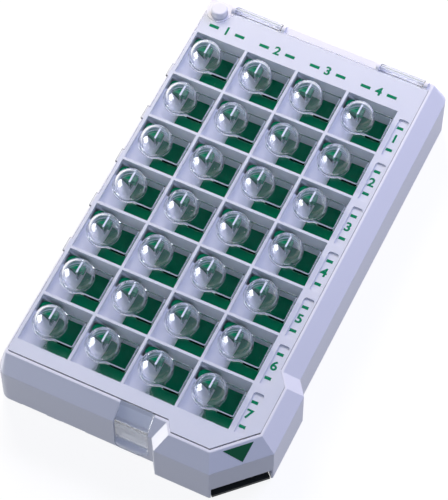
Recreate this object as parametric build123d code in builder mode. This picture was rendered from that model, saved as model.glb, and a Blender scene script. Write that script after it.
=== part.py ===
from build123d import *
from math import cos, hypot, radians, tan
import os

os.makedirs("parts", exist_ok=True)

# Weekly pill organizer with push-button cells, millimetres.
# X runs across the four times of day, Y runs from the front (-Y) to the lid's hinge (+Y), Z is up.
# The origin is at the centre of the bounding box, on the surface that the box rests on.

# The grid of cells
cell_pitch = 27.1
columns = 4
rows = 7
cell_wall = 1.4
cell_depth = 15.5

# The casing in plan
tub_wall = 1.6
fit_gap = 0.2
right_border = 16.6
front_border = 15.5
back_border = 22.2
corner_radius = 5.0
rim_corner_radius = 1.5
rim_rounding = 0.8
ridge_chamfer = 0.35
spout_step = 5.2
spout_left_inset = 27.5
spout_side_length = 54.0
spout_chamfer = 22.0
side_jog = 7.0
front_jog = 3.6

# The casing in height
casing_height = 31.5
bevel_drop = 6.0
bevel_run = 7.5
plain_side_inset = 0.6
deck_thickness = 1.8
floor_thickness = 2.0
bottom_rounding = 1.0
lip_depth = 2.5
lip_thickness = 1.2

# The hump in each cell, which houses the trapdoor's hinge
hump_reach = 8.5
hump_start = 2.2
hump_bulge = 2.6
hump_skin = 1.3

# The trapdoors, each with a lever whose pad stands through an opening in the hump
trapdoor_thickness = 1.4
trapdoor_gap = 0.2
trapdoor_overlap = 0.3
trapdoor_start = 6.3
trapdoor_opening = 25.5
pivot_x = 3.0
pivot_depth = 8.0
barrel_radius = 1.5
stub_radius = 1.0
stub_grip = 0.6
running_gap = 0.08
side_gap = 0.3
arm_foot_x = 7.0
pad_left_x = 1.4
pad_right_x = 11.2
pad_width = 6.0
pad_middle = 5.3
pad_depth = 2.5
pad_height = 3.2
web_thickness = 2.0
pad_opening_gap = 0.5
pad_opening_right_x = 8.4
pad_opening_height = 8.0

# The push buttons
dome_x = 11.3
dome_radius = 7.8
dome_wall = 1.0
dome_skirt = 1.0
ring_radius = 8.5
arm_width = 14.2
arm_end = 25.9
button_thickness = 2.4
button_proud = 0.8
button_gap = 0.25
flange_width = 15.8
flange_length = 8.0
flange_thickness = 0.8
leg_x = 10.6
leg_thickness = 1.0
leg_length = 7.0
leg_in_dome = 2.4
leg_rest_gap = 0.35
button_travel = 3.0

# The lid
lid_thickness = 1.5
lid_gap = 0.5
lid_inset = 1.0
lid_side_inset = 1.9
edge_tab_length = 7.5
edge_tab_reach = 1.2
hinge_back_inset = 3.2
knuckle_radius = 2.6
hinge_pin_radius = 1.2
hinge_pin_length = 2.6
knuckle_gap = 0.4
ear_thickness = 1.6
ear_radius = 2.3
pocket_gap = 0.5
left_knuckle_start = 12.4
left_knuckle_length = 24.6
right_knuckle_end = 4.6
right_knuckle_length = 23.0

# The lock knob, at the far left corner
knob_radius = 4.0
knob_x = 5.3
knob_y = 14.4
knob_proud = 4.0
knob_flange_radius = 4.7
knob_flange_thickness = 1.6
knob_rounding = 0.9
knob_notch_radius = 6.4

# The latch tab and its recess, in the middle of the front
latch_x = 66.3
recess_width = 17.4
recess_depth = 3.4
recess_top_depth = 9.0
recess_bottom = 4.5
latch_gap = 0.4
latch_thickness = 1.4
latch_bottom = 6.4
latch_curl = 2.4
latch_curl_height = 4.0
latch_bend = 2.0
latch_foot_rounding = 3.5
catch_height = 21.0
catch_thickness = 1.6
catch_gap = 0.3
nub_height = 1.4
nub_grip = 0.5

# The collector and the exit slot
exit_width = 29.2
exit_height = 9.0
exit_depth = 4.0
fence_height = 10.0
fence_thickness = 1.4
fence_gap = 0.4

# Small moulded details
label_rib = 4.0
label_margin = 1.2
label_sink = 0.8
snap_notch_width = 13.0
snap_notch_height = 1.2
snap_notch_depth = 1.1
snap_notch_pitch = 20.2
snap_notch_x = 25.7

# Places worked out from the sizes
grid_width = columns * cell_pitch
grid_length = rows * cell_pitch
left_border = tub_wall + fit_gap + cell_wall / 2
overall_width = left_border + grid_width + right_border + spout_step
overall_length = front_border + grid_length + back_border + spout_step
left_x = -overall_width / 2
right_x = overall_width / 2 - spout_step
back_y = overall_length / 2
front_y = -overall_length / 2 + spout_step
spout_right_x = right_x + spout_step
spout_front_y = front_y - spout_step
grid_left = left_x + left_border
grid_right = grid_left + grid_width
grid_back = back_y - back_border
grid_front = grid_back - grid_length
grid_centre = (grid_left + grid_width / 2, grid_back - grid_length / 2)
spout_left_x = spout_right_x - spout_chamfer - spout_left_inset
spout_back_y = spout_front_y + spout_side_length
rim_front_y = front_y + bevel_run
rim_right_x = right_x - bevel_run
ridge_height = casing_height - bevel_drop
cell_floor = casing_height - cell_depth
trapdoor_top = cell_floor - trapdoor_gap
pivot_height = casing_height - pivot_depth
pad_top = casing_height - pad_depth
lid_bottom = casing_height + lid_gap
lid_top = lid_bottom + lid_thickness
button_top = lid_top + button_proud
button_bottom = button_top - button_thickness
dome_centre_height = button_top + dome_skirt
hinge_y = back_y - hinge_back_inset
hinge_height = lid_top - knuckle_radius
pocket_front_y = hinge_y - knuckle_radius - pocket_gap
pocket_floor = hinge_height - knuckle_radius - pocket_gap
latch_centre_x = grid_left + latch_x

# Each knuckle of the lid lies between two ears of the casing: the start and the end along X
knuckles = [
    (grid_left + left_knuckle_start, grid_left + left_knuckle_start + left_knuckle_length),
    (rim_right_x - right_knuckle_end - right_knuckle_length, rim_right_x - right_knuckle_end),
]
ears = []
for knuckle_start, knuckle_end in knuckles:
    ears.append((knuckle_start - knuckle_gap - ear_thickness, knuckle_start - knuckle_gap, 1))
    ears.append((knuckle_end + knuckle_gap, knuckle_end + knuckle_gap + ear_thickness, -1))


def plan_face(height, inset, side_inset, radius):
    """The casing's plan at a height, inset on the bevelled sides and by less on the left and back."""
    push = inset - side_inset
    with BuildSketch(Plane.XY.offset(height)) as face:
        with BuildLine():
            Polyline(
                (left_x - push, front_y),
                (spout_left_x - front_jog, front_y),
                (spout_left_x, spout_front_y),
                (spout_right_x - spout_chamfer, spout_front_y),
                (spout_right_x, spout_front_y + spout_chamfer),
                (spout_right_x, spout_back_y),
                (right_x, spout_back_y + side_jog),
                (right_x, back_y + push),
                (left_x - push, back_y + push),
                close=True,
            )
        make_face()
        if inset > 0:
            offset(amount=-inset, kind=Kind.INTERSECTION)
        left_corners = face.vertices().group_by(Axis.X)[0]
        back_right_corner = face.vertices().group_by(Axis.Y)[-1].sort_by(Axis.X)[-1]
        fillet([*left_corners, back_right_corner], radius)
    return face


def box_between(low, high, mode=Mode.ADD):
    """A box from its lowest to its highest corner, in the part being built."""
    middle = [(a + b) / 2 for a, b in zip(low, high)]
    size = [b - a for a, b in zip(low, high)]
    with Locations(tuple(middle)):
        Box(*size, mode=mode)


def cell_corner(row, column):
    """The left grid line of a cell and the middle of the cell along Y."""
    return grid_left + column * cell_pitch, grid_back - (row + 0.5) * cell_pitch


def hump_ends(skin):
    """Start and end of the hump's curve in X and Z from the cell's left grid line, sunk by a skin."""
    drop = cell_depth - hump_start
    slope = hypot(hump_reach, drop)
    start = (cell_wall / 2, casing_height - hump_start - skin * slope / hump_reach)
    end = (cell_wall / 2 + hump_reach - skin * slope / drop, cell_floor)
    return start, end


def recess_space(skin):
    """The space of the latch recess, grown by a skin on its sides and behind it."""
    with BuildPart() as space:
        with BuildSketch(Plane.YZ.offset(latch_centre_x - recess_width / 2 - skin)):
            with BuildLine():
                Polyline(
                    (front_y - recess_depth, recess_bottom),
                    (front_y + recess_depth, recess_bottom),
                    (front_y + recess_depth, ridge_height),
                    (front_y + recess_top_depth, casing_height),
                    (front_y - recess_depth, casing_height),
                    close=True,
                )
            make_face()
            if skin > 0:
                offset(amount=skin, kind=Kind.INTERSECTION)
        extrude(amount=recess_width + 2 * skin)
    return space


# The space under the deck, apart from the walls round the latch recess and the hinge pockets
with BuildPart() as crown_hollow:
    hollow_bottom = plan_face(ridge_height, tub_wall, tub_wall, corner_radius - tub_wall)
    hollow_rise = bevel_drop - deck_thickness
    hollow_inset = tub_wall + bevel_run * hollow_rise / bevel_drop
    hollow_top = plan_face(ridge_height + hollow_rise, hollow_inset, tub_wall, corner_radius - tub_wall)
    loft([hollow_bottom.sketch.face(), hollow_top.sketch.face()], ruled=True)
    add(recess_space(tub_wall).part, mode=Mode.SUBTRACT)
    for knuckle_start, knuckle_end in knuckles:
        box_between(
            (knuckle_start - knuckle_gap - tub_wall, pocket_front_y - tub_wall, pocket_floor - tub_wall),
            (knuckle_end + knuckle_gap + tub_wall, back_y, casing_height),
            Mode.SUBTRACT,
        )

# Cell block: the white top moulding, with the bevelled crown, the cells, the humps and the hinge ears
with BuildPart() as cell_block:
    ridge_face = plan_face(ridge_height, 0, 0, corner_radius)
    rim_face = plan_face(casing_height, bevel_run, plain_side_inset, rim_corner_radius)
    loft([ridge_face.sketch.face(), rim_face.sketch.face()], ruled=True)
    fillet(cell_block.faces().sort_by(Axis.Z)[-1].edges(), rim_rounding)
    add(crown_hollow.part, mode=Mode.SUBTRACT)

    # A lip inside the tub's wall holds the block in place, apart from the latch recess
    recess_half = recess_width / 2 + tub_wall
    lip_top = plan_face(ridge_height - lip_depth, tub_wall + fit_gap, tub_wall + fit_gap, corner_radius - tub_wall)
    extrude(lip_top.sketch, amount=lip_depth + fit_gap)
    lip_inset = tub_wall + fit_gap + lip_thickness
    lip_inside = plan_face(ridge_height - lip_depth, lip_inset, lip_inset, corner_radius - tub_wall)
    extrude(lip_inside.sketch, amount=lip_depth + fit_gap, mode=Mode.SUBTRACT)
    box_between(
        (latch_centre_x - recess_half - fit_gap, front_y, ridge_height - lip_depth),
        (latch_centre_x + recess_half + fit_gap, front_y + recess_depth + tub_wall + fit_gap, ridge_height),
        Mode.SUBTRACT,
    )

    # The deck is cut away over the cells before the walls are added
    box_between(
        (grid_left, grid_front, cell_floor),
        (grid_right, grid_back, casing_height),
        Mode.SUBTRACT,
    )

    # Long walls between the columns, each with the curved skin of its column's hump
    with BuildSketch(Plane.XZ.offset(-grid_back - cell_wall / 2)) as long_walls:
        for column in range(columns):
            line_x = grid_left + column * cell_pitch
            outer_start, outer_end = hump_ends(0)
            inner_start, inner_end = hump_ends(hump_skin)
            with Locations((line_x, casing_height - cell_depth / 2)):
                Rectangle(cell_wall, cell_depth)
            with BuildLine():
                hump_curve = SagittaArc(
                    (line_x + outer_start[0], outer_start[1]),
                    (line_x + outer_end[0], outer_end[1]),
                    hump_bulge,
                )
                Line(hump_curve @ 1, (line_x + inner_end[0], inner_end[1]))
                SagittaArc(
                    (line_x + inner_start[0], inner_start[1]),
                    (line_x + inner_end[0], inner_end[1]),
                    hump_bulge,
                )
                Line((line_x + inner_start[0], inner_start[1]), hump_curve @ 0)
            make_face()
        with Locations((grid_right, casing_height - cell_depth / 2)):
            Rectangle(cell_wall, cell_depth)
    extrude(amount=grid_length + cell_wall)

    # Cross walls between the rows
    with BuildSketch(Plane.XY.offset(cell_floor)) as cross_walls:
        with Locations(grid_centre):
            with GridLocations(0, cell_pitch, 1, rows + 1):
                Rectangle(grid_width + cell_wall, cell_wall)
    extrude(amount=cell_depth)

    # An opening in every hump, through which the trapdoor's pad stands up
    opening_width = pad_width + 2 * pad_opening_gap
    opening_left = cell_wall / 2
    opening_middle = (opening_left + pad_opening_right_x - cell_pitch) / 2
    with BuildSketch(Plane.XY.offset(casing_height)) as pad_openings:
        with Locations((grid_centre[0], grid_centre[1] + cell_pitch / 2 - pad_middle)):
            with GridLocations(cell_pitch, cell_pitch, columns, rows):
                with Locations((opening_middle, 0)):
                    Rectangle(pad_opening_right_x - opening_left, opening_width)
    extrude(amount=-hump_start - pad_opening_height, mode=Mode.SUBTRACT)

    # Holes for the trapdoors' stub pins, through all cross walls
    with BuildSketch(Plane.XZ.offset(-grid_back - cell_wall)) as pin_holes:
        with Locations((grid_left + pivot_x + (columns - 1) * cell_pitch / 2, pivot_height)):
            with GridLocations(cell_pitch, 0, columns, 1):
                Circle(stub_radius + running_gap)
    extrude(amount=grid_length + 2 * cell_wall, mode=Mode.SUBTRACT)

    # Sunk label fields down the right margin, with a rib left in front of every row boundary
    label_left = grid_right + cell_wall / 2 + label_margin
    label_right = rim_right_x - lid_inset - label_margin
    with BuildSketch(Plane.XY.offset(casing_height - label_sink)) as label_fields:
        with Locations(((label_left + label_right) / 2, grid_centre[1] - label_rib / 2)):
            with GridLocations(0, cell_pitch, 1, rows):
                RectangleRounded(label_right - label_left, cell_pitch - label_rib, label_margin)
    extrude(amount=label_sink, mode=Mode.SUBTRACT)

    # Recess for the latch tab, which slopes as the bevel does
    add(recess_space(0).part, mode=Mode.SUBTRACT)

    # Hinge pockets, with an ear and a stub pin at both ends of each knuckle
    for knuckle_start, knuckle_end in knuckles:
        box_between(
            (knuckle_start - knuckle_gap, pocket_front_y, pocket_floor),
            (knuckle_end + knuckle_gap, back_y, casing_height),
            Mode.SUBTRACT,
        )
    for ear_start, ear_end, facing in ears:
        with BuildSketch(Plane.YZ.offset(ear_start)) as ear:
            with Locations((hinge_y, hinge_height)):
                Circle(ear_radius)
            with Locations((hinge_y, (hinge_height + pocket_floor) / 2)):
                Rectangle(2 * ear_radius, hinge_height - pocket_floor)
        extrude(amount=ear_end - ear_start)
        pin_start = ear_end if facing > 0 else ear_start
        with BuildSketch(Plane.YZ.offset(pin_start)) as hinge_pin:
            with Locations((hinge_y, hinge_height)):
                Circle(hinge_pin_radius)
        extrude(amount=facing * (hinge_pin_length + knuckle_gap))

    # Bore for the lock knob
    knob_place = (grid_left + knob_x, grid_back + knob_y)
    with BuildSketch(Plane.XY.offset(casing_height)) as knob_bore:
        with Locations(knob_place):
            Circle(knob_radius + fit_gap)
    extrude(amount=-deck_thickness, mode=Mode.SUBTRACT)
cell_block.part.label = "cell_block"
export_step(cell_block.part, "parts/cell_block.step")

# Base casing: the white tub, whose floor collects what falls and lets it out at the spout
with BuildPart() as base_casing:
    outline = plan_face(0, 0, 0, corner_radius)
    extrude(outline.sketch, amount=ridge_height)
    fillet(base_casing.faces().sort_by(Axis.Z)[0].outer_wire().edges(), bottom_rounding)
    chamfer(base_casing.faces().sort_by(Axis.Z)[-1].outer_wire().edges(), ridge_chamfer)
    inside = plan_face(floor_thickness, tub_wall, tub_wall, corner_radius - tub_wall)
    extrude(inside.sketch, amount=ridge_height - floor_thickness, mode=Mode.SUBTRACT)

    # Walls round the latch recess, the recess itself and the catch that the tab clicks under
    box_between(
        (latch_centre_x - recess_half, front_y, bottom_rounding),
        (latch_centre_x + recess_half, front_y + recess_depth + tub_wall, ridge_height),
    )
    add(recess_space(0).part, mode=Mode.SUBTRACT)
    catch_front_y = front_y + latch_gap + latch_thickness + catch_gap
    box_between(
        (latch_centre_x - recess_width / 2, catch_front_y, catch_height - catch_thickness),
        (latch_centre_x + recess_width / 2, front_y + recess_depth, catch_height),
    )

    # Low fences keep what falls under the cells and lead it to the exit
    exit_middle = (spout_right_x - spout_chamfer / 2, spout_front_y + spout_chamfer / 2)
    fence_x = grid_right + fence_gap + fence_thickness / 2
    fence_y = grid_front - fence_gap - fence_thickness / 2
    fence_back_y = grid_back + fence_gap + fence_thickness / 2
    exit_half = exit_width / 2 * cos(radians(45))
    with BuildSketch(Plane.XY.offset(floor_thickness)) as fences:
        with BuildLine() as side_fence:
            Polyline(
                (left_x + tub_wall, fence_back_y),
                (fence_x, fence_back_y),
                (fence_x, exit_middle[1] + exit_half + fence_thickness),
                (exit_middle[0] + exit_half, exit_middle[1] + exit_half + fence_thickness),
            )
        trace(line_width=fence_thickness)
        with BuildLine() as front_fence:
            Polyline(
                (left_x + tub_wall, fence_y),
                (exit_middle[0] - exit_half - fence_thickness, fence_y),
                (exit_middle[0] - exit_half - fence_thickness, exit_middle[1] - exit_half),
            )
        trace(line_width=fence_thickness)
    extrude(amount=fence_height)

    # The exit slot runs along the whole foot of the chamfered corner
    exit_plane = Plane(origin=(*exit_middle, 0), x_dir=(1, 1, 0), z_dir=(1, -1, 0))
    with BuildSketch(exit_plane) as exit_slot:
        with Locations((0, exit_height / 2)):
            Rectangle(exit_width, exit_height)
    extrude(amount=-exit_depth, mode=Mode.SUBTRACT)

    # Snap notches under the front edge
    notch_middle_x = grid_left + snap_notch_x
    with Locations((notch_middle_x, front_y + snap_notch_depth / 2, snap_notch_height / 2)):
        with GridLocations(snap_notch_pitch, 0, 2, 1):
            Box(snap_notch_width, snap_notch_depth, snap_notch_height, mode=Mode.SUBTRACT)
base_casing.part.label = "base_casing"
export_step(base_casing.part, "parts/base_casing.step")

# Lid: one clear moulding with a keyhole for each button, two knuckles and the latch tab
with BuildPart() as lid:
    lid_face = plan_face(lid_bottom, bevel_run + lid_inset, lid_side_inset, rim_corner_radius)
    extrude(lid_face.sketch, amount=lid_thickness)
    box_between(
        (left_x, hinge_y, lid_bottom),
        (right_x, back_y, lid_top),
        Mode.SUBTRACT,
    )

    # Corner cut away round the lock knob
    with BuildSketch(Plane.XY.offset(lid_bottom)) as knob_notch:
        with Locations(knob_place):
            Circle(knob_notch_radius)
        notch_width = knuckles[0][0] - left_x
        with Locations((left_x + notch_width / 2, knob_place[1] + knob_notch_radius)):
            Rectangle(notch_width, 2 * knob_notch_radius)
    extrude(amount=lid_thickness, mode=Mode.SUBTRACT)

    # The edge is set back between and beside the knuckles, clear of the ears
    ear_front_y = hinge_y - ear_radius - pocket_gap
    for gap_start, gap_end in ((knuckles[0][1], knuckles[1][0]), (knuckles[1][1], right_x)):
        box_between(
            (gap_start, ear_front_y, lid_bottom),
            (gap_end, back_y, lid_top),
            Mode.SUBTRACT,
        )

    # Knuckles on the hinge pins
    for knuckle_start, knuckle_end in knuckles:
        with BuildSketch(Plane.YZ.offset(knuckle_start)) as knuckle:
            with Locations((hinge_y, hinge_height)):
                Circle(knuckle_radius)
            with Locations((hinge_y - knuckle_radius / 2, lid_top - lid_thickness / 2)):
                Rectangle(knuckle_radius, lid_thickness)
        extrude(amount=knuckle_end - knuckle_start)
    with BuildSketch(Plane.YZ.offset(left_x)) as pin_bore:
        with Locations((hinge_y, hinge_height)):
            Circle(hinge_pin_radius + running_gap)
    extrude(amount=right_x - left_x, mode=Mode.SUBTRACT)

    # Keyholes for the buttons
    with BuildSketch(Plane.XY.offset(lid_bottom)) as keyholes:
        keyhole_end = arm_end + button_gap
        with Locations(grid_centre):
            with GridLocations(cell_pitch, cell_pitch, columns, rows):
                with Locations((dome_x - cell_pitch / 2, 0)):
                    Circle(ring_radius + button_gap)
                with Locations(((dome_x + keyhole_end - cell_pitch) / 2, 0)):
                    Rectangle(keyhole_end - dome_x, arm_width + 2 * button_gap)
    extrude(amount=lid_thickness, mode=Mode.SUBTRACT)

    # Small tabs on the left edge, in line with the walls between the rows
    with BuildSketch(Plane.XY.offset(lid_bottom)) as edge_tabs:
        with Locations((left_x + lid_side_inset - edge_tab_reach / 2, grid_centre[1] + cell_pitch / 2)):
            with GridLocations(0, cell_pitch, 1, rows - 2):
                Rectangle(edge_tab_reach, edge_tab_length)
    extrude(amount=lid_thickness)

    # Latch tab: down the bevel and the front, flush with them, and curled out at its foot
    with BuildSketch(Plane.YZ.offset(latch_centre_x - recess_width / 2 + latch_gap)) as latch_tab:
        with BuildLine():
            latch_line = FilletPolyline(
                (rim_front_y + lid_inset, lid_top - latch_thickness / 2),
                (front_y + latch_gap + latch_thickness / 2, ridge_height),
                (front_y + latch_gap + latch_thickness / 2, latch_bottom + latch_curl_height),
                (front_y - latch_curl, latch_bottom + latch_thickness / 2),
                radius=latch_bend,
            )
        trace(line_width=latch_thickness)
        nub_reach = catch_gap + nub_grip
        nub_middle_y = front_y + latch_gap + latch_thickness + nub_reach / 2
        with Locations((nub_middle_y, catch_height - catch_thickness - catch_gap - nub_height / 2)):
            Rectangle(nub_reach, nub_height)
    extrude(amount=recess_width - 2 * latch_gap)

    # The foot of the tab has round corners
    foot_y = front_y - latch_curl
    foot_edges = lid.edges().filter_by_position(Axis.Y, foot_y - latch_thickness, foot_y + latch_thickness)
    fillet(foot_edges.filter_by(lambda edge: abs(edge.length - latch_thickness) < fit_gap), latch_foot_rounding)
lid.part.label = "lid"
export_step(lid.part, "parts/lid.step")

# Lock knob: a white push knob that stands through the deck, beside the lid's corner
with BuildPart() as lock_knob:
    knob_height = casing_height + knob_proud
    flange_top = casing_height - deck_thickness - fit_gap
    with BuildSketch(Plane.XY.offset(flange_top - knob_flange_thickness)) as knob_flange:
        with Locations(knob_place):
            Circle(knob_flange_radius)
    extrude(amount=knob_flange_thickness)
    with BuildSketch(Plane.XY.offset(flange_top)) as knob_body:
        with Locations(knob_place):
            Circle(knob_radius)
    extrude(amount=knob_height - flange_top)
    fillet(lock_knob.faces().sort_by(Axis.Z)[-1].edges(), knob_rounding)
lock_knob.part.label = "lock_knob"
export_step(lock_knob.part, "parts/lock_knob.step")


def dose_button(row, column):
    """One clear push button: a keyhole plate, a hollow dome and a leg down to its trapdoor."""
    line_x, middle_y = cell_corner(row, column)
    dome_place = (line_x + dome_x, middle_y)
    arm_length = arm_end - dome_x
    with BuildPart() as button:
        with BuildSketch(Plane.XY.offset(button_bottom)) as plate:
            with Locations(dome_place):
                Circle(ring_radius)
            with Locations((dome_place[0] + arm_length / 2, middle_y)):
                Rectangle(arm_length, arm_width)
            with Locations(dome_place):
                Circle(dome_radius - dome_wall, mode=Mode.SUBTRACT)
        extrude(amount=button_thickness)

        # Flange under the lid, which keeps the button in
        flange_middle_x = line_x + arm_end - flange_length / 2
        with BuildSketch(Plane.XY.offset(button_bottom)) as flange:
            with Locations((flange_middle_x, middle_y)):
                Rectangle(flange_length, flange_width)
        extrude(amount=-flange_thickness)

        # Dome, open underneath
        inner_radius = dome_radius - dome_wall
        with BuildSketch(Plane(origin=(*dome_place, 0), x_dir=(1, 0, 0), z_dir=(0, -1, 0))) as dome:
            with BuildLine():
                Line((inner_radius, button_top), (dome_radius, button_top))
                Line((dome_radius, button_top), (dome_radius, dome_centre_height))
                CenterArc((0, dome_centre_height), dome_radius, 0, 90)
                Line((0, dome_centre_height + dome_radius), (0, dome_centre_height + inner_radius))
                CenterArc((0, dome_centre_height), inner_radius, 0, 90)
                Line((inner_radius, dome_centre_height), (inner_radius, button_top))
            make_face()
        revolve(axis=Axis((*dome_place, 0), (0, 0, 1)))

        # Leg, which reaches down to the pad of the trapdoor's lever
        leg_far_y = middle_y + inner_radius + dome_wall / 3
        box_between(
            (line_x + leg_x - leg_thickness / 2, leg_far_y - leg_length, pad_top + leg_rest_gap),
            (line_x + leg_x + leg_thickness / 2, leg_far_y, button_top + leg_in_dome),
        )
    return button


def trapdoor(row, column):
    """One green trapdoor: the cell's floor, the arm up to its hinge barrel, and the lever with its pad."""
    line_x, middle_y = cell_corner(row, column)
    hinge_x = line_x + pivot_x
    door_start = line_x + trapdoor_start
    door_end = line_x + cell_pitch - cell_wall / 2 + trapdoor_overlap
    door_width = cell_pitch - cell_wall + 2 * trapdoor_overlap
    barrel_length = cell_pitch - cell_wall - 2 * side_gap
    pin_length = cell_pitch - cell_wall + 2 * stub_grip
    pad_y = middle_y + cell_pitch / 2 - pad_middle
    pad_length = pad_right_x - pad_left_x
    with BuildPart() as door:
        with BuildSketch(Plane.XY.offset(trapdoor_top)) as plate:
            with Locations(((door_start + door_end) / 2, middle_y)):
                Rectangle(door_end - door_start, door_width)
        extrude(amount=-trapdoor_thickness)

        # Hinge barrel and the arm between it and the plate, both inside the hump
        with BuildSketch(Plane.XZ.offset(-middle_y - barrel_length / 2)) as barrel:
            with Locations((hinge_x, pivot_height)):
                Circle(barrel_radius)
            with BuildLine():
                Line((hinge_x, pivot_height), (line_x + arm_foot_x, trapdoor_top - trapdoor_thickness / 2))
            trace(line_width=trapdoor_thickness)
        extrude(amount=barrel_length)
        with BuildSketch(Plane.XZ.offset(-middle_y - pin_length / 2)) as stub_pins:
            with Locations((hinge_x, pivot_height)):
                Circle(stub_radius)
        extrude(amount=pin_length)

        # Lever: a web on the barrel, and the pad with its round left end
        with BuildSketch(Plane.XY.offset(pad_top)) as pad:
            with Locations((line_x + pad_left_x + pad_width / 2, pad_y)):
                Circle(pad_width / 2)
            with Locations((line_x + pad_right_x - (pad_length - pad_width / 2) / 2, pad_y)):
                Rectangle(pad_length - pad_width / 2, pad_width)
        extrude(amount=-pad_height)
        box_between(
            (hinge_x - web_thickness / 2, pad_y - pad_width / 2, pivot_height),
            (hinge_x + web_thickness / 2, pad_y + pad_width / 2, pad_top - pad_height / 2),
        )
    return door


for row in range(rows):
    for column in range(columns):
        place = f"r{row + 1}_c{column + 1}"
        button = dose_button(row, column)
        button.part.label = f"dose_button_{place}"
        export_step(button.part, f"parts/dose_button_{place}.step")
        door = trapdoor(row, column)
        door.part.label = f"trapdoor_{place}"
        export_step(door.part, f"parts/trapdoor_{place}.step")

# How far the pad's surface falls under the leg, against how far the leg is pushed
leg_arm = leg_x - leg_thickness / 2 - pivot_x
pad_rise = pivot_depth - pad_depth
surface_fall = leg_arm * tan(radians(trapdoor_opening)) - pad_rise / cos(radians(trapdoor_opening)) + pad_rise
print(f"pad falls {surface_fall:.2f} mm at the leg, leg is pushed {button_travel - leg_rest_gap:.2f} mm")
print(f"overall {overall_width:.1f} x {overall_length:.1f} x {dome_centre_height + dome_radius:.1f} mm")
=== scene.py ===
# %% [markdown]
# # A pill organizer with push buttons
# The real thing is a white box with a clear lid. Under the lid lie twenty-eight cells, seven rows
# of four. Each cell has a clear dome that is pushed down, a white hump that hides a hinge, and a
# green trapdoor for a floor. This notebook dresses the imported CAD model: it keeps the solids whose
# shape is right, gives them real plastics, and builds finer meshes where light shows more than a
# plain solid has, such as the domes.

from math import asin, atan2, cos, degrees, hypot, radians, sin, sqrt

import bmesh
import bpy
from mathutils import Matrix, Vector


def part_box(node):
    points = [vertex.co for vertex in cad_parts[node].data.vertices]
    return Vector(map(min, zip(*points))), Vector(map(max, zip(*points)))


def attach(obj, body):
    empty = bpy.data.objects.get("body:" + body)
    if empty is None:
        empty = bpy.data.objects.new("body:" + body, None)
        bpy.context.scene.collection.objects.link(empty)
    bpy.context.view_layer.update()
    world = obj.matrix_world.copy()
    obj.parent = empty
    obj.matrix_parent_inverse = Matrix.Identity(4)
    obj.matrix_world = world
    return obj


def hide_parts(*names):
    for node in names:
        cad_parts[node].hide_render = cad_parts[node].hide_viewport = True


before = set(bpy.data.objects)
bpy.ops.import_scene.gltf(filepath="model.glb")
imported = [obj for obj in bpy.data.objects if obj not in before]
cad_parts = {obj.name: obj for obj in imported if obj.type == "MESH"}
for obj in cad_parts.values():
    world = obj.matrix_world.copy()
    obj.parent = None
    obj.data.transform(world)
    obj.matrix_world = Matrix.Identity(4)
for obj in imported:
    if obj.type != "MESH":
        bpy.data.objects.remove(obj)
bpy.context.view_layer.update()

# %% [markdown]
# ## Sizes
# The CAD model is in millimetres and Blender is in metres, so every size below is written in
# millimetres and multiplied by MM once. The grid of cells is the ruler for everything: its pitch
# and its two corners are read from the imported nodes, so nothing here has to be fitted by eye.

# %% Sizes of the grid
MM = 0.001
columns, rows = 4, 7
first_door, last_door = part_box("trapdoor_r1_c1"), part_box("trapdoor_r7_c4")
pitch_x = (last_door[1][0] - first_door[1][0]) / (columns - 1)
pitch_y = (first_door[1][1] - last_door[1][1]) / (rows - 1)
door_side_gap = 0.4 * MM
door_back_gap = 0.1 * MM
grid_right = last_door[1][0] + door_side_gap
grid_left = grid_right - columns * pitch_x
grid_back = first_door[1][1] + door_back_gap
deck_height = 31.5 * MM
print("pitch", round(pitch_x / MM, 2), round(pitch_y / MM, 2), "grid corner", grid_left, grid_back)


def cell_place(row, column):
    """The left grid line of a cell and the middle of the cell along Y, counted from 0."""
    return grid_left + column * pitch_x, grid_back - (row + 0.5) * pitch_y


# %% [markdown]
# ## Colours and nodes
# Colours are easiest to pick as sRGB hex values, but shaders work in linear light. One function
# turns a hex value into the four linear numbers that a colour socket wants. A second function adds
# a shader node with its settings and links, so that each material below reads like a recipe. A Mix
# node has sockets of the same name for each kind of data, so its sockets are counted instead: with
# colours, 0 is the factor, 6 and 7 are the two colours, and output 2 is the mixed colour.

# %% Helpers for colours and nodes
def linear(hex_colour):
    """Linear RGBA from an sRGB hex value such as #FFAA00."""
    digits = hex_colour.lstrip("#")
    parts = [int(digits[i:i + 2], 16) / 255 for i in (0, 2, 4)]
    return [c / 12.92 if c <= 0.04045 else ((c + 0.055) / 1.055) ** 2.4 for c in parts] + [1.0]


def add_node(tree, kind, inputs=None, **settings):
    """Adds a node, sets its settings and its inputs. An input that is a socket is linked."""
    node = tree.nodes.new(kind)
    for name, value in settings.items():
        setattr(node, name, value)
    for name, value in (inputs or {}).items():
        socket = node.inputs[name]
        if isinstance(value, bpy.types.NodeSocket):
            tree.links.new(value, socket)
        else:
            socket.default_value = value
    return node


def new_material(name):
    """A node material with nothing in it but its output."""
    material = bpy.data.materials.new(name)
    material.use_nodes = True
    material.node_tree.nodes.clear()
    output = add_node(material.node_tree, "ShaderNodeOutputMaterial")
    return material, material.node_tree, output


def per_metre(size_mm):
    """The scale that makes a noise pattern's features about this many millimetres wide."""
    return 1 / (size_mm * MM)


# %% [markdown]
# ## White ABS
# The casing is moulded ABS, a tough plastic that takes a spark-eroded texture from its mould. That
# gives a satin face with very fine grain: highlights are soft and wide, and edges stay crisp. The
# grain of the real mould is about 0.1 mm, too fine to show here, so it is drawn at 0.35 mm. ABS
# has an IOR of 1.54. The white is slightly blue, as brightened plastics are, and drifts by a hair
# between two shades over some centimetres, as a moulding that cooled unevenly does.

# %% White ABS
drift_mm = 45


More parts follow.
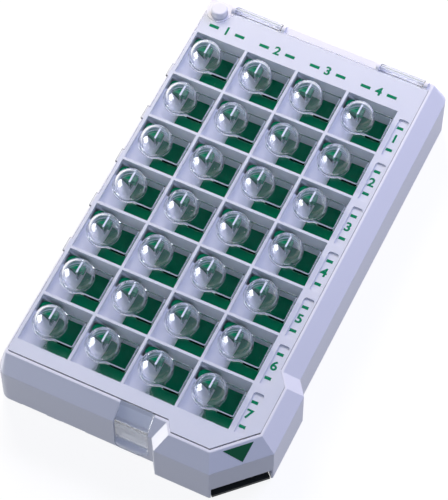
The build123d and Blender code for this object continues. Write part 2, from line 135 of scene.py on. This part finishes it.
def satin_plastic(name, colours, grain_mm, grain_depth_mm, roughness, ior=1.54, edge_mm=0):
    """A moulded plastic: two near shades drifting over the part, fine grain and soft edges if asked."""
    material, tree, output = new_material(name)
    place = add_node(tree, "ShaderNodeTexCoord").outputs["Object"]
    drift = add_node(tree, "ShaderNodeTexNoise", {
        "Vector": place, "Scale": per_metre(drift_mm), "Detail": 2.0})
    shade = add_node(tree, "ShaderNodeMix", {
        0: drift.outputs["Fac"], 6: linear(colours[0]), 7: linear(colours[1])}, data_type="RGBA")
    grain = add_node(tree, "ShaderNodeTexNoise", {
        "Vector": place, "Scale": per_metre(grain_mm), "Detail": 3.0})
    gloss = add_node(tree, "ShaderNodeMapRange", {
        "Value": grain.outputs["Fac"], "To Min": roughness[0], "To Max": roughness[1]})
    bump = add_node(tree, "ShaderNodeBump", {
        "Height": grain.outputs["Fac"], "Strength": 0.6, "Distance": grain_depth_mm * MM})
    if edge_mm:
        edge = add_node(tree, "ShaderNodeBevel", {"Radius": edge_mm * MM}, samples=4)
        tree.links.new(edge.outputs["Normal"], bump.inputs["Normal"])
    plastic = add_node(tree, "ShaderNodeBsdfPrincipled", {
        "Base Color": shade.outputs[2], "Roughness": gloss.outputs["Result"],
        "Normal": bump.outputs["Normal"], "IOR": ior})
    tree.links.new(plastic.outputs["BSDF"], output.inputs["Surface"])
    return material


white_abs = satin_plastic("white_abs_satin", ("#E6E6EA", "#E1E1E6"), 0.35, 0.02, (0.34, 0.44))
print("made", white_abs.name)

# %% [markdown]
# ## Green ABS
# The trapdoors are the same plastic in a deep bottle green. Their mould was polished more, so they
# are smoother and their highlights are narrower. Under the lid the real ones mirror less of the sky
# than ABS in the open does, so the IOR is matched to that and lies below 1.54. The CAD model's
# edges are sharp where the real mould rounds them, so a Bevel node bends the shading over the last
# 0.3 mm, and the edges catch light.

# %% Green ABS
green_abs = satin_plastic("green_abs_gloss", ("#00734B", "#008056"), 0.5, 0.01, (0.18, 0.26), 1.35, 0.3)
print("made", green_abs.name)

# %% [markdown]
# ## The lid's margin and sides
# Two parts of the lid aren't plain clear plastic. Its narrow side faces look dark on the real clear
# moulding, where they mirror the inside of the part, so a dark shade is painted on them: a painted
# reflection in place of the one that light gives. A face is a side face when its own normal lies
# flat, and nothing below the lid's underside is painted, which keeps the latch tab clear. Its front
# margin is frosted in the mould, to hide the casing's rim under it: a mask along Y raises the
# roughness and adds a pebble grain. Both read the lid's own coordinates, so they stay in place when
# the lid opens.

# %% Painted edge shade and frost
# The second colour is a painted shade: a dark reflection painted on the lid's side faces.
clear_colour, painted_edge_shade_colour = "#FBFDFF", "#2E2E3C"
polished_roughness, frosted_roughness = 0.02, 0.22
pebble_mm, pebble_depth_mm = 0.7, 0.16
painted_shade_from_height = 31.9


def tint_and_frost(tree, place, body, bump, frost):
    """Paints shade on the side faces, frosts the front. frost is where the frosting ends and starts,
    along Y.
    """
    own_normal = add_node(tree, "ShaderNodeTexCoord").outputs["Normal"]
    facing = add_node(tree, "ShaderNodeSeparateXYZ", {"Vector": own_normal})
    flatness = add_node(tree, "ShaderNodeMath", {0: facing.outputs["Z"]}, operation="ABSOLUTE")
    spot = add_node(tree, "ShaderNodeSeparateXYZ", {"Vector": place})
    low = add_node(tree, "ShaderNodeMath", {
        0: spot.outputs["Z"], 1: painted_shade_from_height * MM}, operation="LESS_THAN")
    clear = add_node(tree, "ShaderNodeMath", {
        0: flatness.outputs["Value"], 1: low.outputs["Value"]}, operation="MAXIMUM")
    # Painted shade: where this mask is 0, the side faces get the dark colour in place of their
    # reflection.
    painted_edge_shade = add_node(tree, "ShaderNodeMix", {
        0: clear.outputs["Value"], 6: linear(painted_edge_shade_colour), 7: linear(clear_colour)}, data_type="RGBA")
    mask = add_node(tree, "ShaderNodeMapRange", {
        "Value": spot.outputs["Y"], "From Min": frost[1] * MM, "From Max": frost[0] * MM,
        "To Min": 1.0, "To Max": 0.0}, interpolation_type="SMOOTHSTEP")
    pebbles = add_node(tree, "ShaderNodeTexVoronoi", {"Vector": place, "Scale": per_metre(pebble_mm)})
    depth = add_node(tree, "ShaderNodeMath", {
        0: mask.outputs["Result"], 1: pebbles.outputs["Distance"]}, operation="MULTIPLY")
    frosting = add_node(tree, "ShaderNodeBump", {
        "Height": depth.outputs["Value"], "Strength": 0.6, "Distance": pebble_depth_mm * MM,
        "Normal": bump.outputs["Normal"]})
    rough = add_node(tree, "ShaderNodeMapRange", {
        "Value": mask.outputs["Result"], "To Min": polished_roughness, "To Max": frosted_roughness})
    tree.links.new(painted_edge_shade.outputs[2], body.inputs["Base Color"])
    tree.links.new(frosting.outputs["Normal"], body.inputs["Normal"])
    tree.links.new(rough.outputs["Result"], body.inputs["Roughness"])


# %% [markdown]
# ## Clear polystyrene
# The lid and the buttons are crystal polystyrene, a stiff plastic as clear as glass, with an IOR
# of 1.59. It is moulded against polished steel, so its roughness is near zero. Glass in a path
# tracer stops light from lamps, and the cells would go dark, so rays towards lamps pass through a
# Transparent shader instead. Rays that leave a dull surface pass too, because they would find the
# same lamps a second time. The flange under each button hardly shows on the real part, so its IOR
# is matched to that and lies near the IOR of air. The edges of the buttons' plates and the top of
# each leg are painted an opaque dull white: a painted highlight, in place of the thin white line
# that light makes along the clear edges.

# %% Clear polystyrene
def clear_plastic(name, wave_mm, wave_depth_mm, ior=1.59, edge_mm=0, frost=None):
    """Clear plastic that bends what is seen through it, in faint waves as a moulding has."""
    material, tree, output = new_material(name)
    place = add_node(tree, "ShaderNodeTexCoord").outputs["Object"]
    waves = add_node(tree, "ShaderNodeTexNoise", {
        "Vector": place, "Scale": per_metre(wave_mm), "Detail": 1.0})
    bump = add_node(tree, "ShaderNodeBump", {
        "Height": waves.outputs["Fac"], "Strength": 0.5, "Distance": wave_depth_mm * MM})
    if edge_mm:
        edge = add_node(tree, "ShaderNodeBevel", {"Radius": edge_mm * MM}, samples=4)
        tree.links.new(edge.outputs["Normal"], bump.inputs["Normal"])
    body = add_node(tree, "ShaderNodeBsdfPrincipled", {
        "Base Color": linear(clear_colour), "Roughness": polished_roughness, "IOR": ior,
        "Transmission Weight": 1.0, "Normal": bump.outputs["Normal"]})
    if frost:
        tint_and_frost(tree, place, body, bump, frost)
    path = add_node(tree, "ShaderNodeLightPath")
    shader = body.outputs["BSDF"]
    for passing in ("Is Diffuse Ray", "Is Shadow Ray"):
        through = add_node(tree, "ShaderNodeBsdfTransparent", {"Color": linear("#FDFEFF")})
        mix = add_node(tree, "ShaderNodeMixShader", {
            0: path.outputs[passing], 1: shader, 2: through.outputs["BSDF"]})
        shader = mix.outputs["Shader"]
    tree.links.new(shader, output.inputs["Surface"])
    return material


clear_lid = clear_plastic("clear_polystyrene_lid", 9.0, 0.02, edge_mm=0.3, frost=(-89.0, -97.0))
clear_button = clear_plastic("clear_polystyrene_button", 4.0, 0.006)
clear_foot = clear_plastic("clear_polystyrene_foot", 4.0, 0.006, ior=1.12)
# A painted highlight: opaque white for the bright lines along the clear edges.
painted_highlight_edge = satin_plastic("painted_highlight_polystyrene_edge", ("#EEF1F8", "#E2E6F0"), 0.2, 0.01, (0.5, 0.6))
print("made", clear_lid.name, clear_button.name, clear_foot.name, painted_highlight_edge.name)

# %% Plastics on the CAD nodes
for name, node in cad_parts.items():
    if name == "lid":
        plastic = clear_lid
    elif name.startswith("dose_button"):
        plastic = clear_button
    elif name.startswith("trapdoor"):
        plastic = green_abs
    else:
        plastic = white_abs
    for slot in node.material_slots:
        slot.material = plastic
print("dressed", len(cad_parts), "nodes")

# %% [markdown]
# ## The push button
# Light makes the button: a thin bright ring round the dome, and double lines along the edges of
# its plate, where rounded plastic bends the view. A plain solid has sharp edges and none of that,
# so the button gets a mesh of its own. It is made of rings of points. The inner rings are circles
# round the dome's axis and the outer ones follow the keyhole plate, and all have the same number
# of points, so that neighbouring rings join with simple four-sided faces.

# %% Sizes of the button, in millimetres from the dome's axis
dome_x = 11.3
dome_radius, dome_wall = 7.8, 1.0
inner_radius = dome_radius - dome_wall
dome_centre = 35.3
ring_radius = 8.5
plate_end, plate_half = 14.6, 7.1
plate_bottom, skirt_bottom, plate_top = 33.1, 31.9, 34.3
corner_radius = 0.8
edge_rounding, edge_support = 0.3, 0.12
dome_fillet, fillet_middle = 0.18, 0.05
under_edge, skirt_corner = 0.15, 0.1
print("button", plate_end + ring_radius, "mm long", dome_centre + dome_radius - skirt_bottom, "mm high")

# %% The keyhole outline
end_steps, side_steps, ring_points = 6, 9, 61


def arc(centre, radius, start, end, points):
    """Points on an arc with their outward directions, as (x, y, out_x, out_y)."""
    turns = [radians(start + (end - start) * i / (points - 1)) for i in range(points)]
    return [(centre[0] + radius * cos(t), centre[1] + radius * sin(t), cos(t), sin(t)) for t in turns]


def keyhole_outline():
    """The plate's outline, anticlockwise from the middle of its right edge."""
    straight = plate_half - corner_radius
    upper = [(plate_end, straight * i / end_steps, 1.0, 0.0) for i in range(end_steps)]
    upper += arc((plate_end - corner_radius, straight), corner_radius, 0, 90, end_steps)
    meeting_x = sqrt(ring_radius ** 2 - plate_half ** 2)
    side = plate_end - corner_radius - meeting_x
    upper += [(plate_end - corner_radius - side * i / side_steps, plate_half, 0.0, 1.0)
              for i in range(1, side_steps)]
    meeting = degrees(asin(plate_half / ring_radius))
    circle = arc((0, 0), ring_radius, meeting, 360 - meeting, ring_points)
    lower = [(x, -y, out_x, -out_y) for x, y, out_x, out_y in reversed(upper[1:])]
    return upper + circle + lower


outline = keyhole_outline()
print("points round the button", len(outline))

# %% Rings of the button, from the top of the dome round to its inside
dome_steps, rounding_steps = 18, 4


def circle_ring(radius, height):
    """One ring round the dome's axis, with its points at the outline's directions."""
    turns = [atan2(y, x) for x, y, _, _ in outline]
    return [(radius * cos(t), radius * sin(t), height) for t in turns]


def plate_ring(inset, height):
    """One ring that follows the keyhole at a distance inside it."""
    return [(x - out_x * inset, y - out_y * inset, height) for x, y, out_x, out_y in outline]


def dome_rings(radius):
    """Rings down a half sphere, from near its top to its rim."""
    leans = [radians(90 * i / dome_steps) for i in range(1, dome_steps + 1)]
    return [circle_ring(radius * sin(lean), dome_centre + radius * cos(lean)) for lean in leans]


def button_rings():
    """All rings of the button, outside first."""
    rings = dome_rings(dome_radius)
    rings.append(circle_ring(dome_radius, plate_top + dome_fillet))
    rings.append(circle_ring(dome_radius + fillet_middle, plate_top + fillet_middle))
    rings.append(circle_ring(dome_radius + dome_fillet, plate_top))
    rings.append(plate_ring(edge_rounding + edge_support, plate_top))
    for i in range(rounding_steps + 1):
        lean = radians(90 * i / rounding_steps)
        inset = edge_rounding * (1 - sin(lean))
        rings.append(plate_ring(inset, plate_top - edge_rounding * (1 - cos(lean))))
    rings.append(plate_ring(0, plate_top - edge_rounding - edge_support))
    rings.append(plate_ring(0, plate_bottom + under_edge))
    rings.append(plate_ring(under_edge, plate_bottom))
    rings.append(plate_ring(2 * under_edge, plate_bottom))
    rings.append(circle_ring(dome_radius + skirt_corner, plate_bottom))
    rings.append(circle_ring(dome_radius, plate_bottom - skirt_corner))
    rings.append(circle_ring(dome_radius, skirt_bottom + under_edge))
    rings.append(circle_ring(dome_radius - under_edge, skirt_bottom))
    rings.append(circle_ring(inner_radius + under_edge, skirt_bottom))
    rings.append(circle_ring(inner_radius, skirt_bottom + under_edge))
    rings += reversed(dome_rings(inner_radius))
    return rings


def ringed_mesh(name, rings, first_pole, last_pole):
    """A closed mesh from rings of equal length, capped by a point at each end."""
    count = len(rings[0])
    points = [first_pole] + [point for ring in rings for point in ring] + [last_pole]
    faces = [(0, 1 + i, 1 + (i + 1) % count) for i in range(count)]
    for k in range(len(rings) - 1):
        for i in range(count):
            j = (i + 1) % count
            here, below = 1 + k * count, 1 + (k + 1) * count
            faces.append((here + i, below + i, below + j, here + j))
    start = 1 + (len(rings) - 1) * count
    faces += [(start + (i + 1) % count, start + i, len(points) - 1) for i in range(count)]
    mesh = bpy.data.meshes.new(name)
    mesh.from_pydata([[c * MM for c in point] for point in points], [], faces)
    mesh.update()
    return mesh


shell = ringed_mesh(
    "button_shell", button_rings(), (0, 0, dome_centre + dome_radius), (0, 0, dome_centre + inner_radius))
print("button shell faces", len(shell.polygons))

# %% [markdown]
# ## The button's leg and foot
# Inside the dome stands a leg, a thin wall that presses the trapdoor's lever. At the plate's right
# end a rib goes down through the lid to a flange, the foot, which lies under the lid and keeps the
# button in. They are boxes with rounded edges. A union of leg and shell leaves no faces inside the
# plastic, where they would bend light that the real moulding lets straight through.

# %% Rounded blocks and unions
def soft_block(name, low, high, rounding):
    """A closed block between two corners, in millimetres, with its edges rounded."""
    shape = bmesh.new()
    corners = [[shape.verts.new((x * MM, y * MM, z * MM)) for x, y in (
        (low[0], low[1]), (high[0], low[1]), (high[0], high[1]), (low[0], high[1]))]
        for z in (low[2], high[2])]
    shape.faces.new(list(reversed(corners[0])))
    shape.faces.new(corners[1])
    for i in range(4):
        j = (i + 1) % 4
        shape.faces.new((corners[0][i], corners[0][j], corners[1][j], corners[1][i]))
    bmesh.ops.bevel(
        shape, geom=list(shape.edges), offset=rounding * MM, segments=3, profile=0.5, affect="EDGES")
    mesh = bpy.data.meshes.new(name)
    shape.to_mesh(mesh)
    shape.free()
    return mesh


def joined(name, meshes):
    """One mesh that is the union of several closed ones."""
    holders = [bpy.data.objects.new(f"{name}_{i}", mesh) for i, mesh in enumerate(meshes)]
    for holder in holders:
        bpy.context.scene.collection.objects.link(holder)
    for other in holders[1:]:
        union = holders[0].modifiers.new("union", "BOOLEAN")
        union.operation = "UNION"
        union.solver = "EXACT"
        union.object = other
    depsgraph = bpy.context.evaluated_depsgraph_get()
    result = bpy.data.meshes.new_from_object(holders[0].evaluated_get(depsgraph))
    result.name = name
    for holder in holders:
        bpy.data.objects.remove(holder)
    return result


# %% Leg, flange and rib
leg_left, leg_right = -1.2, -0.2
leg_front, leg_back = 0.13, 7.13
leg_bottom, leg_top = 29.35, 36.7
flange_length, flange_half = 8.0, 7.9
flange_bottom, flange_top = 31.1, 32.0
rib_thickness, rib_half = 0.5, 2.5
rib_overlap = 0.2
leg = soft_block(
    "button_leg", (leg_left, leg_front, leg_bottom), (leg_right, leg_back, leg_top), 0.2)
flange = soft_block(
    "button_flange", (plate_end - flange_length, -flange_half, flange_bottom),
    (plate_end, flange_half, flange_top), 0.12)
rib = soft_block(
    "button_rib", (plate_end - rib_thickness, -rib_half, flange_top - rib_overlap),
    (plate_end, rib_half, plate_bottom), 0.1)
foot_mesh = joined("button_foot", [flange, rib])
button_mesh = joined("dose_button", [shell, leg])

# %% Smooth faces, sharp edges and painted highlight edges
sharp_angle = 13
for mesh, plastic in ((button_mesh, clear_button), (foot_mesh, clear_foot)):
    for polygon in mesh.polygons:
        polygon.use_smooth = True
    mesh.set_sharp_from_angle(angle=radians(sharp_angle))
    mesh.materials.clear()
    mesh.materials.append(plastic)
    print(mesh.name, "faces", len(mesh.polygons))

# The side of the plate and the top of the leg get the second slot, an opaque white painted highlight
button_mesh.materials.append(painted_highlight_edge)
outside_dome = 8.2
leg_middle = (leg_left + leg_right) / 2
for polygon in button_mesh.polygons:
    x, y, z = (c / MM for c in polygon.center)
    on_side = hypot(x, y) > outside_dome and abs(polygon.normal.z) < 0.5
    on_leg = abs(x - leg_middle) < 0.6 and abs(z - leg_top) < 0.3 and polygon.normal.z > 0.5
    if on_side or on_leg:
        polygon.material_index = 1

# %% One button in every cell
for row in range(rows):
    for column in range(columns):
        line_x, middle_y = cell_place(row, column)
        place = f"r{row + 1}_c{column + 1}"
        for part, mesh in (("button", button_mesh), ("foot", foot_mesh)):
            piece = bpy.data.objects.new(f"{part}_{place}", mesh)
            bpy.context.scene.collection.objects.link(piece)
            piece.location = (line_x + dome_x * MM, middle_y, 0)
            if part == "button":
                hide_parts(f"dose_button_{place}")
            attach(piece, f"button_{place}")
print("buttons", rows * columns)

# %% [markdown]
# ## Printed marks
# The marks are pad-printed in green on the white plastic: plain numbers between short bars across
# the far margin and down the right margin, and an arrow over the exit. Text objects make the
# figures, and each becomes a mesh as thin as a coat of ink, laid a hair above the plastic. The ink
# is satin. The lid lies over it, so its IOR is matched below that of dry ink, and it stays deep.

# %% Green printing ink
def printing_ink(name, colours):
    """A slightly uneven coat of satin ink."""
    material, tree, output = new_material(name)
    place = add_node(tree, "ShaderNodeTexCoord").outputs["Object"]
    speckle = add_node(tree, "ShaderNodeTexNoise", {
        "Vector": place, "Scale": per_metre(0.6), "Detail": 2.0})
    shade = add_node(tree, "ShaderNodeMix", {
        0: speckle.outputs["Fac"], 6: linear(colours[0]), 7: linear(colours[1])}, data_type="RGBA")
    ink = add_node(tree, "ShaderNodeBsdfPrincipled", {
        "Base Color": shade.outputs[2], "Roughness": 0.5, "IOR": 1.35})
    tree.links.new(ink.outputs["BSDF"], output.inputs["Surface"])
    return material


green_ink = printing_ink("green_pad_print", ("#008C5C", "#007A50"))
ink_thickness = 0.03
print("made", green_ink.name)


def inked(name, mesh, location, ink):
    """A printed mark as an object that moves with the casing."""
    mesh.materials.clear()
    mesh.materials.append(ink)
    mark = bpy.data.objects.new(name, mesh)
    mark.location = location
    bpy.context.scene.collection.objects.link(mark)
    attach(mark, "casing")


# %% Numbers and bars
figure_height, figure_boldness = 4.8, 0.2
figure_share_of_font = 0.72


def number_mesh(figure):
    """A plain number as a thin mesh, centred on its own middle."""
    text = bpy.data.curves.new(f"figure_{figure}", "FONT")
    text.body = str(figure)
    text.align_x, text.align_y = "CENTER", "CENTER"
    text.size = figure_height * MM / figure_share_of_font
    text.offset = figure_boldness * MM
    text.extrude = ink_thickness * MM / 2
    holder = bpy.data.objects.new("figure", text)
    bpy.context.scene.collection.objects.link(holder)
    mesh = bpy.data.meshes.new_from_object(holder.evaluated_get(bpy.context.evaluated_depsgraph_get()))
    bpy.data.objects.remove(holder)
    return mesh


def bar_mesh(width_mm, height_mm):
    """A short printed bar, centred."""
    half = (width_mm / 2, height_mm / 2, ink_thickness / 2)
    return soft_block("bar", [-h for h in half], half, 0.005)


def printed_number(name, figure, place, bar, apart_mm, upright):
    """A number with a bar on both sides of it, in a line along X or Y."""
    x, y, z = place
    inked(f"{name}_{figure}", number_mesh(figure), (x, y, z), green_ink)
    for side in (-1, 1):
        shift = side * apart_mm * MM
        spot = (x, y + shift, z) if upright else (x + shift, y, z)
        inked(f"{name}_{figure}_bar_{'before' if side < 0 else 'after'}", bar_mesh(*bar), spot, green_ink)


# %% Marks across the far margin
time_y = 99.65 * MM
ink_z = deck_height + ink_thickness * MM
time_bar, time_bar_apart = (5.0, 1.7), 6.9
for column in range(columns):
    middle_x = grid_left + (column + 0.5) * pitch_x
    printed_number("time", column + 1, (middle_x, time_y, ink_z), time_bar, time_bar_apart, False)

# %% Marks down the right margin, sunk in their labels
day_x = 48.7 * MM
day_below_middle = 2.0 * MM
label_sink = 0.8 * MM
day_bar, day_bar_apart = (3.2, 1.6), 6.7
for row in range(rows):
    spot = (day_x, cell_place(row, 0)[1] - day_below_middle, ink_z - label_sink)
    printed_number("day", row + 1, spot, day_bar, day_bar_apart, True)
print("marks", columns, "and", rows)

# %% The arrow over the exit
exit_x, exit_y = 55.35, -105.3
arrow_height, arrow_lift = 25.5, 0.02
facet_middle = Vector((exit_x, exit_y, arrow_height)) * MM
facet_along = Vector((1, 1, 0)).normalized()
facet_out = Vector((0.4417, -0.4417, 0.7809)).normalized()
facet_up = facet_out.cross(facet_along)
arrow_corners = [(-6.6, 8.4), (0.8, 0.9), (8.2, 8.4)]
arrow = bmesh.new()
flat = [
    arrow.verts.new(facet_middle + facet_along * u * MM + facet_up * v * MM + facet_out * arrow_lift * MM)
    for u, v in arrow_corners]
arrow_face = arrow.faces.new(flat)
raised = bmesh.ops.extrude_face_region(arrow, geom=[arrow_face])["geom"]
for corner in raised:
    if isinstance(corner, bmesh.types.BMVert):
        corner.co += facet_out * ink_thickness * MM
bmesh.ops.recalc_face_normals(arrow, faces=list(arrow.faces))
arrow_mesh = bpy.data.meshes.new("exit_arrow")
arrow.to_mesh(arrow_mesh)
arrow.free()
# The arrow's ink is a darker green than the figures': painted shade, for a facet that turns from the
# light.
painted_shade_green_ink = printing_ink("painted_shade_green_pad_print", ("#00603A", "#005834"))
inked("exit_arrow", arrow_mesh, (0, 0, 0), painted_shade_green_ink)
print("made", painted_shade_green_ink.name)

# %% [markdown]
# ## The dark foot of the exit
# The slot at the foot of the chamfered corner is nearly black inside. A dark strip lies where the
# floor is cut away: a painted shade, put where the inside of the slot lies in shadow. It is a plain
# soft block, and a noise makes its near-black uneven.

# %% Painted shade strip
def dusty_rubber():
    """A near-black painted shade for the inside of the slot, with a little grey in its grain."""
    material, tree, output = new_material("dark_painted_shade_strip")
    place = add_node(tree, "ShaderNodeTexCoord").outputs["Object"]
    dust = add_node(tree, "ShaderNodeTexNoise", {
        "Vector": place, "Scale": per_metre(1.2), "Detail": 4.0})
    shade = add_node(tree, "ShaderNodeMix", {
        0: dust.outputs["Fac"], 6: linear("#141817"), 7: linear("#1E2422")}, data_type="RGBA")
    strip_surface = add_node(tree, "ShaderNodeBsdfPrincipled", {
        "Base Color": shade.outputs[2], "Roughness": 0.6, "IOR": 1.52})
    tree.links.new(strip_surface.outputs["BSDF"], output.inputs["Surface"])
    return material


strip_half, strip_depth, strip_height = 14.1, 3.9, 2.0
strip_gap = 0.1
chamfer_turn = 45
# The strip's near-black is painted shade for the inside of the slot.
strip_mesh = soft_block(
    "exit_strip", (-strip_half, strip_gap, strip_gap), (strip_half, strip_depth, strip_height), 0.1)
strip_mesh.materials.append(dusty_rubber())
strip = bpy.data.objects.new("exit_strip", strip_mesh)
strip.location = (exit_x * MM, exit_y * MM, 0)
strip.rotation_euler = (0, 0, radians(chamfer_turn))
bpy.context.scene.collection.objects.link(strip)
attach(strip, "casing")
print("strip faces", len(strip_mesh.polygons))

# %% [markdown]
# ## Stage
# The floor looks white to the camera, to mirrors and to clear plastic, and keeps a faint shadow.
# Towards the casing's sides it is a darker card, because a white floor would fill their shade. The
# white is mostly a glow, which shadows can't darken, mixed with a little matt paint, which they can.

# %% Floor
glow_strength, glow_share = 1.07, 0.82
floor_half = 3.0


def floor_material():
    """White to the eye, with the object's soft shadow, but a grey card to light that bounces."""
    material, tree, output = new_material("studio_floor")
    matt = add_node(tree, "ShaderNodeBsdfDiffuse", {"Color": linear("#F4F5F8")})
    glow = add_node(tree, "ShaderNodeEmission", {"Color": [1, 1, 1, 1], "Strength": glow_strength})
    shown = add_node(tree, "ShaderNodeMixShader", {
        0: glow_share, 1: matt.outputs["BSDF"], 2: glow.outputs["Emission"]})
    card = add_node(tree, "ShaderNodeBsdfDiffuse", {"Color": linear("#585A64")})
    path = add_node(tree, "ShaderNodeLightPath")
    seen = path.outputs["Is Camera Ray"]
    for ray in ("Is Transmission Ray", "Is Glossy Ray"):
        either = add_node(tree, "ShaderNodeMath", {0: seen, 1: path.outputs[ray]}, operation="MAXIMUM")
        seen = either.outputs["Value"]
    mix = add_node(tree, "ShaderNodeMixShader", {
        0: seen, 1: card.outputs["BSDF"], 2: shown.outputs["Shader"]})
    tree.links.new(mix.outputs["Shader"], output.inputs["Surface"])
    return material


floor_mesh = bpy.data.meshes.new("studio_floor")
floor_mesh.from_pydata(
    [(-floor_half, -floor_half, 0), (floor_half, -floor_half, 0), (floor_half, floor_half, 0),
     (-floor_half, floor_half, 0)], [], [(0, 1, 2, 3)])
floor_mesh.materials.append(floor_material())
floor = bpy.data.objects.new("studio_floor", floor_mesh)
bpy.context.scene.collection.objects.link(floor)
print("floor", 2 * floor_half, "m wide")

# %% [markdown]
# ## Light
# The light comes from behind: a white softbox at the far left and a bluish one at the far right,
# both screened from the shiny plastic, as a photographer flags a lamp. What the lid does mirror is
# the part of the sky that lies straight behind and above, so the sky is dark there, as a studio's
# ceiling is, and the green trapdoors stay deep. A card at the left is the only lamp that the domes
# mirror, and a weak lamp beside it lifts the front.

# %% Sky
azimuth, elevation = radians(25.68), radians(60.05)
to_camera = Vector((sin(azimuth) * cos(elevation), -cos(azimuth) * cos(elevation), sin(elevation)))
mirrored = Vector((-to_camera.x, -to_camera.y, to_camera.z))
ceiling_rim, ceiling_core = radians(34), radians(12)
world = bpy.data.worlds.new("studio_world")
bpy.context.scene.world = world
world.use_nodes = True
sky_tree = world.node_tree
sky_tree.nodes.clear()
way = add_node(sky_tree, "ShaderNodeTexCoord").outputs["Generated"]
nearness = add_node(sky_tree, "ShaderNodeVectorMath", {0: way, 1: mirrored}, operation="DOT_PRODUCT")
ceiling = add_node(sky_tree, "ShaderNodeMapRange", {
    "Value": nearness.outputs["Value"], "From Min": cos(ceiling_rim), "From Max": cos(ceiling_core),
    "To Min": 0.0, "To Max": 1.0}, interpolation_type="SMOOTHSTEP")
glow = add_node(sky_tree, "ShaderNodeBackground", {"Color": linear("#B3BDDA"), "Strength": 0.75})
dark = add_node(sky_tree, "ShaderNodeBackground", {"Color": linear("#202428"), "Strength": 0.1})
sky = add_node(sky_tree, "ShaderNodeMixShader", {
    0: ceiling.outputs["Result"], 1: glow.outputs["Background"], 2: dark.outputs["Background"]})
sky_output = add_node(sky_tree, "ShaderNodeOutputWorld", {"Surface": sky.outputs["Shader"]})
print("dark ceiling towards", [round(c, 2) for c in mirrored])

# %% Softboxes
def softbox(name, direction, distance, size, watts, colour, mirrored):
    """A square area lamp turned towards the object, that is only mirrored by it or only lights it."""
    lamp = bpy.data.lights.new(name, "AREA")
    lamp.shape = "SQUARE"
    lamp.size = size
    lamp.energy = watts
    lamp.color = linear(colour)[:3]
    holder = bpy.data.objects.new(name, lamp)
    holder.location = Vector(direction).normalized() * distance
    holder.rotation_euler = Vector(direction).to_track_quat("Z", "Y").to_euler()
    holder.visible_diffuse = not mirrored
    holder.visible_glossy = mirrored
    holder.visible_transmission = mirrored
    bpy.context.scene.collection.objects.link(holder)
    print(name, watts, "W at", distance, "m")


softbox("softbox_far_left", (-0.50, 0.68, 0.68), 1.0, 0.45, 8.2, "#FFF3DC", False)
softbox("softbox_far_right", (0.33, 0.72, 0.62), 1.2, 0.6, 9.7, "#C8C9F5", False)
softbox("fill_left", (-0.90, -0.40, 0.15), 0.6, 0.15, 0.7, "#FFFFFF", False)
softbox("card_left", (-0.90, -0.40, 0.20), 0.6, 0.38, 4.6, "#FFFFFF", True)

# %% [markdown]
# ## Camera
# The camera stands where the photographer did: to the right of the front, sixty degrees above the
# table, with a long lens. Its aim and distance come from the corners of the cells. Blender fits the
# sensor's width to the longer side of the picture, which is its height here.

# %% Camera
aim = Vector((1.76, -11.87, 31.5)) * MM
camera_distance = 1.2189
picture_height = 500
focal_pixels = 2613.8
lens = bpy.data.cameras.new("camera")
lens.sensor_width = 36.0
lens.lens = focal_pixels * lens.sensor_width / picture_height
camera = bpy.data.objects.new("camera", lens)
camera.location = aim + to_camera * camera_distance
camera.rotation_mode = "QUATERNION"
camera.rotation_quaternion = (-to_camera).to_track_quat("-Z", "Y")
bpy.context.scene.collection.objects.link(camera)
bpy.context.scene.camera = camera
bpy.context.scene.view_settings.view_transform = "Standard"
print("lens", round(lens.lens, 1), "mm")
